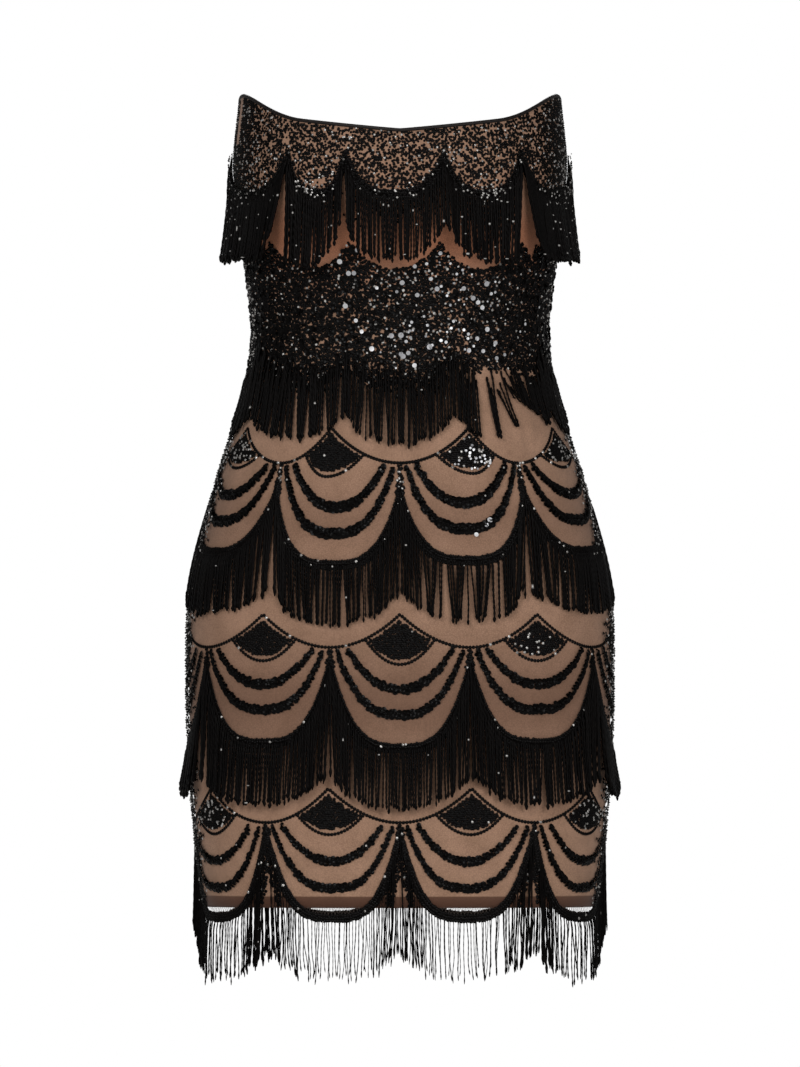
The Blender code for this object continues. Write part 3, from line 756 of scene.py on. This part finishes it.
def swag_of(tier, name, reach, power, centre, middle):
    """Cupped sequins along one swag, three abreast and tipped over one another like a rope."""
    def line(place):
        return smile(place, tier, tier[name], reach, power, SWAG_CLEARANCE)
    step_place, step_height = along_line(centre - reach / 2, centre + reach / 2, line, SWAG_PITCH)
    groups = []
    thick = SWAG_THICKNESS[tier["name"]]
    apart = 2.7 * thick
    for abreast in (-1, 0, 1):
        away = from_unit_middle(step_place, tier["shift"]) / reach
        place = step_place + chance.normal(0, 0.004, len(step_place))
        height = step_height + abreast * apart * (1 - 0.35 * away**2) + chance.normal(0, 0.4, len(away))
        keep = np.abs(place - middle) < SIDE_SEAM - 0.02
        place, height, away = place[keep], height[keep], away[keep]
        size = thick * SWAG_SEQUIN * (1 - 0.2 * away**2) * chance.uniform(0.85, 1.1, len(away))
        lean = -abreast * 0.5 + chance.normal(0, 0.2, len(away))
        discs = copies(SEQUIN, place, height, 1.4 - 0.6 * abs(abreast), size, lean=lean)
        groups.append((discs, chance.uniform(0, 0.8, len(place))))
    groups.append(beads(place, height - 0.6 * apart * (1 - 0.5 * away**2), 2, EDGE_BEAD, FAN_STEEL_AND_GLINTS))
    return groups


def stem_of(tier, boundary, middle):
    """Beads between the low point of the cusp line and the fringe band, where two units meet."""
    top, bottom = tier["low"] - 1, tier["band_side"] - STEM_OVERLAP
    place, height = on_half(*scattered(boundary, bottom, top, FAN_PITCH, 0.08), middle)
    share = (top - height) / (top - bottom)
    half_width = STEM_WIDTHS[0] + (STEM_WIDTHS[1] - STEM_WIDTHS[0]) * np.minimum(1, 1.3 * share) ** 2
    keep = np.abs(place - boundary) * UNIT_LENGTH < half_width
    return beads(place[keep], height[keep], 0.3, STEM_BEAD, STEM_STEEL_AND_GLINTS)


def fill_of(tier, boundary, middle):
    """Beads inside the arms of the hem's band, with a notch of bare cloth left under the stem."""
    half = HEM_FILL_HALF / UNIT_LENGTH
    grid = scattered(boundary, HEM_HEIGHT + 2, tier["band_side"], FILL_PITCH, half)
    place, height = on_half(*grid, middle)
    below = band_line(place, tier) - height
    inside = (below > 0) & (below < HEM_FILL + chance.normal(0, 3, len(place)))
    return beads(place[inside], height[inside], -0.2, FILL_BEAD, STEM_STEEL_AND_GLINTS)


for half, middle in HALVES:
    lines, fans, swags = [], [], []
    for tier in SKIRT_TIERS:
        place, height = along_line(*span(middle), lambda place: cusp_line(place, tier), LINE_BEAD * 0.86)
        lines.append(beads(place, height, -0.2, LINE_BEAD, LINE_STEEL_AND_GLINTS))
        for centre in middle + np.arange(-2, 3) + tier["shift"]:
            if abs(centre - middle) > SIDE_SEAM + 0.01:
                continue
            outline, filling = fan_of(tier, centre, middle)
            lines.append(outline)
            fans.append(filling)
            for name, reach, power in SWAGS:
                swags += swag_of(tier, name, reach, power, centre, middle)
        for boundary in middle + np.arange(-2, 3) + tier["shift"] - 0.5:
            lines.append(stem_of(tier, boundary, middle))
            if tier["name"] == "hem":
                lines.append(fill_of(tier, boundary, middle))
    # Down each side seam runs a trail of wandering lines of beads, many of them pale: painted glints
    # where the turning side catches the light, and partly cut steel
    for side in (-1, 1):
        place, height = scattered(middle + side * TRAIL_MIDDLE, -636, -190, TRAIL_PITCH, TRAIL_HALF)
        inner = np.clip((np.abs(place - middle) - TRAIL_MIDDLE + TRAIL_HALF) / TRAIL_HALF, TRAIL_THIN, 1)
        keep = np.abs(wandering(place, height, TRAIL_WAVE, 11)) < TRAIL_LINE * inner
        place, height = place[keep], height[keep]
        lines.append(beads(place, height, chance.uniform(0.5, 2.5, len(place)), TRAIL_BEAD, TRAIL_STEEL_AND_GLINTS))
    sewn_piece(f"cusp_line_beads_{half}", lines, glass)
    sewn_piece(f"fan_beads_{half}", fans, glass)
    sewn_piece(f"swag_sequins_{half}", swags, film)


# The fringe.
# Strings of black glass beads, each knotted into a beaded band that is sewn along a scalloped line.
# The strings hang plumb, cling together in small bunches and end in a larger bead.

TOP_TIERS = named("name shift unit band_side scallop tip_side tip_middle flare", (
    ("bust", BUST_SHIFT, BUST_UNIT, BUST_BAND_SIDE, BUST_BAND_MIDDLE - BAND_HEIGHT, -33, -64, 9),
    ("waist", 0, 1, WAIST_BAND_SIDE, WAIST_BAND_MIDDLE - BAND_HEIGHT, -207, -234, 0),
))
# A row for each tier from the top. pitch: along the band, from one string to the next. radius: of a
# string. bead: from one to the next along it. steep: how much closer strings are where the band is
# steep. swell: how much thicker where two units meet. pull: how far a string is drawn to the middle
# of its bunch, at most. waver: how far it wavers. spread: of the lengths. power: how square the
# scallops of tips are. side_lift: how much shorter strings are at the side seams. tape: its height.
# steel: the share of rings drawn pale, painted glints where a bead catches the light.
STRINGS = named("pitch radius bead steep swell pull waver spread power side_lift tape steel", (
    (1.85, 1.4, 5, 0.35, 0, 0.3, 0.35, 1.8, 3, 0, 7, 0.01),
    (2.05, 1.25, 5, 0.35, 0, 0.5, 0.35, 1.8, 2.4, 26, 7, 0.002),
    (1.9, 1.25, 5, 0.35, 0, 0.5, 0.35, 1.8, 2.4, 0, 7, 0.002),
    (1.8, 1.25, 5, 0.35, 0, 0.5, 0.35, 1.8, 2.4, 14, 7, 0.002),
    (4.8, 0.55, 6.4, 0.9, 0.6, 0.45, 0.9, 3.2, 2.4, 26, 5.5, 0.002),
))
# Rows of beads on the band: how far each lies below its top, and the beads' size
USUAL_BAND_ROWS = ((0.5, 3), (2.7, 3.3), (4.9, 3.3), (7, 3))
BAND_ROWS = {"hem": ((0.8, 3.4), (3.2, 3.6), (5.6, 3.4))}
BAND_PITCH, BAND_STEEL_AND_GLINTS = 2.4, 0.02
SIDE_MASS = 1.3  # how much more string the hem has at the side seams
STRING_SIDES = 4
ROOT_BELOW = 3.5  # from the top of the band to the knot
BETWEEN_BEADS, LAST_BEAD, LAST_END = 0.66, 1.4, 0.5  # thickness against a bead's
STRING_CLEARANCE = 2.6  # from the cloth to a string's middle
EVEN_TIPS, EVEN_DROP = 0.66, 3  # past this place the bust fringe hangs in one line, this much lower

# Where the strings of a tier have swung apart: how far the tips to the viewer's left and right of
# the place have moved, how far that acts, and in some rows how much shorter the strings beside it are
LIFT_FALL = 4  # the lift dies away this many times faster, in the bell's exponent
PARTINGS = named("tier place left right reach left_lift right_lift", (
    ("bust", -0.94, 13, 2, 24, 28, 0), ("bust", 1.03, 7, 13, 24, 0, 20),
    ("bust", -0.74, 0, 0, 34, -7, -7),
    ("bust", -0.45, 1, 2, 12), ("bust", 0.35, 1, 1.5, 12), ("waist", -1.05, 5, 2, 16),
    ("waist", -0.3, 2, 2, 14), ("waist", 0.98, 0, 12, 50), ("hip", -1, 3.5, 3.5, 22),
    ("hip", 0, 0.5, 2.5, 16), ("hip", 0.28, 2, 2, 10), ("hip", 0.52, 2, 2, 10),
    ("hip", 1, 4, 3, 20), ("thigh", -0.5, 1.5, 2, 12), ("thigh", 0.5, 2, 2, 14),
    ("thigh", -1.52, 7, 3, 20), ("thigh", 1.52, 3, 7, 20), ("hem", 0, 4, 4, 20),
    ("hem", -1, 3.5, 3.5, 20), ("hem", 1, 3.5, 3.5, 20),
))
# Where strings are missing or hidden in others: the middle of the area, its reach and the share gone
THINNED = named("tier place reach share", (
    ("hip", 0.42, 26, 0.3), ("hip", 0.75, 20, 0.3), ("hip", 1.35, 30, 0.25), ("bust", -0.45, 8, 0.4),
    ("hem", 0, 7, 0.75), ("hem", -1, 7, 0.75), ("hem", 1, 7, 0.75),
))

# Over the bare shell of the right hip the waist fringe hangs in separate locks: the first and last
# place of each, how far its tip has moved to the viewer's right, and where it ends
SHELL = (0.71, 0.99)
LOCKS = ((0.758, 0.78, 4.5, -233), (0.81, 0.88, 7, -225), (0.91, 0.99, 16, -217))
LOCK_PULL = 0.5
SLANT_TOP, SLANT_FALL = -190, 62  # right of the locks the tips are on a slant


def plumb(place, root, height, root_out):
    """Where a string that hangs from its root is at lower heights: its place is moved round the body
    until it is below its root, and it stands as far out as its root or the body makes it."""
    start = on_body(place, root, root_out)
    now = place + 0 * height
    for _ in range(2):
        away = (start - on_body(now, height))[..., :2]
        now = now + (away * sideways(now, height)[..., :2]).sum(axis=-1) / (UNIT_LENGTH * MM)
    here = on_body(now, height)
    outward = on_body(now, height, 1) - here
    flat = np.linalg.norm(outward, axis=-1)
    drop = ((start - here)[..., :2] * outward[..., :2]).sum(axis=-1) / flat / MM
    return now, np.maximum(drop, STRING_CLEARANCE * np.minimum(1, (root - height) / 10))


def front_rows(table, tier, middle):
    """The rows of a table that are about one tier. They are all about the front."""
    return [row for row in table if row["tier"] == tier["name"] and middle == 0]


def swung(place, tier, middle):
    """How far the tip of each string is off plumb, and how much shorter the string is: it is drawn
    into its bunch and pushed away from each parting."""
    sizes = chance.integers(2, 10, len(place))
    bunch = np.searchsorted(np.cumsum(sizes), np.arange(len(place)), side="right")
    centre = np.bincount(bunch, place) / np.bincount(bunch)
    pull = chance.uniform(0, tier["pull"], len(centre))
    away = ((centre[bunch] - place) * pull[bunch] * UNIT_LENGTH + chance.normal(0, 0.7, len(centre))[bunch]
            + chance.normal(0, 0.7, len(place)))
    lift = np.zeros(len(place))
    for parting in front_rows(PARTINGS, tier, middle):
        side = (place - parting["place"]) * UNIT_LENGTH
        near = np.exp(-(side / parting["reach"]) ** 2)
        away += np.where(side < 0, -parting["left"], parting["right"]) * near
        lift += np.where(side < 0, parting.get("left_lift", 0),
                         parting.get("right_lift", 0)) * near**LIFT_FALL
    at_seam = np.clip((np.abs(place - middle) - 1.6) / 0.35, 0, 1)
    return away, lift + tier["side_lift"] * at_seam**2


def kept_strings(place, tier, middle):
    """The places whose strings are really there, by the table of thinned areas."""
    gone = np.zeros(len(place))
    for area in front_rows(THINNED, tier, middle):
        gone += area["share"] * np.exp(-((place - area["place"]) * UNIT_LENGTH / area["reach"]) ** 2)
    return place[chance.random(len(place)) > gone]


def locks(place, away, tip):
    """The strings near the bare shell: none between two locks, those of a lock drawn together, and
    the next ones ending on the slant. Gives which are kept, and their ends."""
    kept = (place < SHELL[0]) | (place > SHELL[1])
    for first, last, moved, end in LOCKS:
        inside = (place > first) & (place < last)
        kept |= inside
        away = np.where(inside, moved + LOCK_PULL * ((first + last) / 2 - place) * UNIT_LENGTH, away)
        tip = np.where(inside, end + chance.normal(0, 2, len(place)), tip)
    slant = SLANT_TOP - SLANT_FALL * (place - SHELL[1]) + chance.normal(0, 2, len(place))
    tip = np.where(place > SHELL[1], np.maximum(tip, slant), tip)
    return kept, away, tip


def strings(tier, middle):
    """All the strings of one half of a tier as one set of points and quads. A string is a chain of
    rings, wide at a bead and narrow between two, with a larger bead at its end."""
    name = tier["name"]
    edge = SIDE_SEAM - 1.4 / UNIT_LENGTH
    fine = np.linspace(middle - edge, middle + edge, 4000)
    weight = np.hypot(UNIT_LENGTH, np.gradient(band_line(fine, tier), fine) * tier["steep"])
    if name == "hem":
        weight = weight * (1 + SIDE_MASS * np.clip((np.abs(fine - middle) - 1.6) / 0.2, 0, 1))
    length = np.concatenate(([0], np.cumsum((weight[1:] + weight[:-1]) / 2 * np.diff(fine))))
    along = np.arange(tier["pitch"] / 2, length[-1], tier["pitch"])
    place = np.interp(along + chance.uniform(-0.3, 0.3, len(along)) * tier["pitch"], length, fine)
    place = kept_strings(place, tier, middle)
    root = band_line(place, tier) - ROOT_BELOW
    if name == "waist":
        root = root + chance.uniform(-2, 22, len(place))
    tip_middle = tier["tip_middle"] + lift_of(place, tier)
    tip = swag(place, tier["shift"], tier["tip_side"], tip_middle, tier["unit"], tier["power"])
    if name == "bust":
        tip = np.where(np.abs(place - middle) > EVEN_TIPS, tip_middle - EVEN_DROP, tip)
    away, lift = swung(place, tier, middle)
    tip = tip + lift + chance.normal(0, tier["spread"], len(place))
    if name == "waist" and middle == 0:
        kept, away, tip = locks(place, away, tip)
        place, root, away, tip = place[kept], root[kept], away[kept], tip[kept]
    steps = 2 * int(np.median(root - tip) / tier["bead"])
    share = np.linspace(0, 1, steps + 1)[None, :]
    wide = np.where(np.arange(steps + 1) % 2 == 1, 1, BETWEEN_BEADS)
    wide[-2:] = LAST_BEAD, LAST_END
    size = tier["radius"] * chance.uniform(0.75, 1.15, len(place))
    size = size * (1 + tier["swell"] * from_unit_middle(place, tier["shift"]) ** 3)
    radius = size[:, None] * wide[None, :]
    height = root[:, None] + (tip - root)[:, None] * share
    now, out = plumb(place[:, None], root[:, None], height, 1.6)
    one_each = (len(place), 1)
    waver = np.sin(2 * np.pi * (share * chance.uniform(0.6, 1.6, one_each) + chance.random(one_each)))
    off = away[:, None] * share**1.3 + tier["waver"] * waver * share
    now = now + off / UNIT_LENGTH
    out = out + (tier["flare"] + chance.uniform(0, 1.8, len(place)))[:, None] * share
    side = sideways(now, height)
    away = np.stack((side[..., 1], -side[..., 0], 0 * side[..., 0]), axis=-1)
    turn = np.arange(STRING_SIDES) * 2 * np.pi / STRING_SIDES + np.pi / 4
    ring = (on_body(now, height, out)[..., None, :] + radius[..., None, None] * MM
            * (side[..., None, :] * np.cos(turn)[:, None] + away[..., None, :] * np.sin(turn)[:, None]))
    at = np.arange(ring[..., 0].size).reshape(ring.shape[:3])
    quads = np.concatenate((tube_faces(at), at[:, 0, :], at[:, -1, ::-1]))
    # Painted glints, rings drawn pale where a bead catches the light, are few, but for the bust's two sides
    at_side = (name == "bust") * np.clip(np.abs(now - middle).ravel() - 1.2, 0, 0.3)
    painted_glint = chance.random(now.size) < tier["steel"] + 0.1 * at_side
    shine = np.where(painted_glint, 1, chance.uniform(0, 0.8, now.size))
    return ring, quads, np.repeat(shine, STRING_SIDES)


def steepness(place, tier):
    """How many times further down than across itself a slanting band reaches, at most 2.4."""
    slope = (band_line(place + 0.01, tier) - band_line(place - 0.01, tier)) / (0.02 * UNIT_LENGTH)
    return np.minimum(np.hypot(1, slope), 2.4)


def band_of(tier, middle):
    """The beaded band: rows of beads along the tier's scalloped line."""
    groups = []
    for below, size in BAND_ROWS.get(tier["name"], USUAL_BAND_ROWS):
        def row_line(place):
            return band_line(place, tier) - below * steepness(place, tier)
        place, height = along_line(*span(middle, 0.015), row_line, BAND_PITCH)
        height = height + chance.normal(0, 0.3, len(place))
        groups.append(beads(place, height, 1.2, size * chance.uniform(0.9, 1.1, len(place)), BAND_STEEL_AND_GLINTS))
    return groups


def tape_of(tier, middle, columns=201):
    """The black tape that the band's beads are sewn on: a strip along the scalloped line."""
    reach = SIDE_SEAM - 0.8 / UNIT_LENGTH
    place = middle + np.linspace(-reach, reach, columns)[None, :]
    down = np.linspace(0, tier["tape"], 3)[:, None]
    height = band_line(place, tier) - down * steepness(place, tier)
    return on_body(place, height, 0.9), grid_faces(3, columns)


# Pressed glass on a string that turns every way: matt black, with a painted glint here and there,
# a ring drawn pale where a bead catches the light
dull_glass = bead_material("dull_black_glass_with_painted_glints",
                           ((0, GLASS_BLACK), (0.85, GLASS_SOFT_BLACK), (1, PALE_STEEL_AND_GLINT)),
                           {"Roughness": 0.4, "Specular IOR Level": 0.05})[0]
for half, middle in HALVES:
    for tier, string in zip(TOP_TIERS + SKIRT_TIERS, STRINGS):
        tier = {**tier, **string}
        points, quads, shine = strings(tier, middle)
        fringe = put_mesh(f"fringe_strings_{tier['name']}_{half}", points, quads, dull_glass,
                          values={"shine": shine})
        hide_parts(f"fringe_{tier['name']}_{half}")
        if tier["name"] == "waist":
            continue
        sewn_piece(f"fringe_band_{tier['name']}_{half}", band_of(tier, middle), glass)
        tape = put_mesh(f"fringe_tape_{tier['name']}_{half}", *tape_of(tier, middle), dull_glass)


# The net below the hem.
# The jersey ends at a straight hem, and the net runs on to the scalloped band of the lowest fringe.
# It shows as a pale crescent of crossed threads, and each thread here is a narrow ribbon.

NET_STEP = 3.1  # from one thread to the next
NET_RIBBON = 0.35  # how wide a thread is
NET_COLOUR = "#55504B"


def mottled(name, scale, dark, light, roughness):
    """A matt material that differs a little from place to place."""
    material, shader = new_material(name, {"Roughness": roughness})
    mottle = node(material, "ShaderNodeTexNoise", {"Scale": scale})
    shade = node(material, "ShaderNodeValToRGB", {"stops": ((0, dark), (1, light))},
                 Fac=mottle.outputs["Fac"])
    join(material, shade.outputs["Color"], shader.inputs["Base Color"])
    return material


def crossed_threads(tier, middle, slopes=(-1, 1), steps=7):
    """Ribbons at a slope to the left and to the right, from the hem down to the band. A thread that
    would leave the band's line ends on it."""
    points, quads, start = [], [], 0
    for slope in slopes:
        along = np.arange(-SIDE_SEAM * UNIT_LENGTH, SIDE_SEAM * UNIT_LENGTH, NET_STEP)[:, None]
        down = np.linspace(0, 1, steps)[None, :]
        depth = HEM_HEIGHT + 1 - band_line(middle + along / UNIT_LENGTH, tier)
        some = depth[:, 0] > 2
        along, depth = along[some], depth[some]
        place = middle + (along + slope * 0.5 * depth * down) / UNIT_LENGTH
        height = np.maximum(HEM_HEIGHT + 1 - depth * down, band_line(place, tier) - 1)
        inside = np.clip(place, *span(middle))
        edges = [on_body(inside + side * NET_RIBBON / 2 / UNIT_LENGTH, height, -0.4) for side in (-1, 1)]
        at = start + np.arange(len(place) * steps).reshape(-1, steps)
        across = len(place) * steps
        quads.append(np.stack((at[:, :-1], at[:, 1:], at[:, 1:] + across, at[:, :-1] + across), axis=-1))
        points += [edge.reshape(-1, 3) for edge in edges]
        start += 2 * across
    return np.concatenate(points), np.concatenate([made.reshape(-1, 4) for made in quads])


# Fine polyester filament: dull dark grey, so that the pale room shows between its threads
filament = mottled("grey_polyester_net", 400, NET_THREAD, NET_COLOUR, 0.7)
for half, middle in HALVES:
    net = put_mesh(f"hem_net_{half}", *crossed_threads(SKIRT_TIERS[-1], middle), filament)


# The studio.
# A plain pale floor below the hanging dress and soft white light from the front and both sides.

FLOOR_HEIGHT, FLOOR_SIZE = -1.25, 4
PHOTO_HEIGHT = 1067  # in pixels; the photo is 800 wide
PHOTO_SCALE = 0.00088  # metres in one pixel at the dress
VIEW_DISTANCE, VIEW_MIDDLE = 24, -0.311  # how far the camera is, and the height of the photo's middle
DRESS_FRONT = 0.06  # how far the dress's outline lies in front of the origin
ROOM_LIGHT = 0.2  # the pale room lights the dress less than it shows behind it
LIGHTS = named("name spot size power", (  # in metres and watts
    ("key", (-1.3, -3.2, 1.1), 1.3, 40),
    ("fill", (1.5, -3.1, 0.3), 1.3, 30),
    ("back_light", (0, 3, 0.8), 1.6, 40),
))

# Matt white paper, a little uneven so that it doesn't look like a flat colour
paper = mottled("white_paper_floor", 3, "#E9E8E6", "#F1F0EE", 0.9)
corners = np.array([(-1, -1), (1, -1), (1, 1), (-1, 1)]) * FLOOR_SIZE
floor = put_mesh("floor", np.column_stack((corners, np.full(4, FLOOR_HEIGHT))), [(0, 1, 2, 3)], paper,
                 smooth=False)

world = bpy.data.worlds.new("studio")
bpy.context.scene.world = world
world.use_nodes = True
sky = world.node_tree.nodes["Background"]
sky.inputs["Color"].default_value = linear("#FFFFFF")
seen = node(world, "ShaderNodeLightPath")
strength = node(world, "ShaderNodeMapRange", {"To Min": ROOM_LIGHT, "To Max": 1},
                Value=seen.outputs["Is Camera Ray"])
join(world, strength.outputs["Result"], sky.inputs["Strength"])
bpy.context.scene.view_settings.view_transform = "Standard"

for light in LIGHTS:
    lamp = bpy.data.lights.new(light["name"], "AREA")
    lamp.size, lamp.energy = light["size"], light["power"]
    made = bpy.data.objects.new(light["name"], lamp)
    made.location = light["spot"]
    aim = np.array((0, 0, VIEW_MIDDLE)) - light["spot"]
    made.rotation_euler = (np.arctan2(np.hypot(*aim[:2]), -aim[2]), 0, np.arctan2(-aim[0], aim[1]))
    bpy.context.scene.collection.objects.link(made)

camera = bpy.data.cameras.new("camera")
camera.lens = camera.sensor_width * (VIEW_DISTANCE - DRESS_FRONT) / (PHOTO_SCALE * PHOTO_HEIGHT)
eye = bpy.data.objects.new("camera", camera)
eye.location = (0, -VIEW_DISTANCE, VIEW_MIDDLE)
eye.rotation_euler = (np.pi / 2, 0, 0)
bpy.context.scene.collection.objects.link(eye)
bpy.context.scene.camera = eye
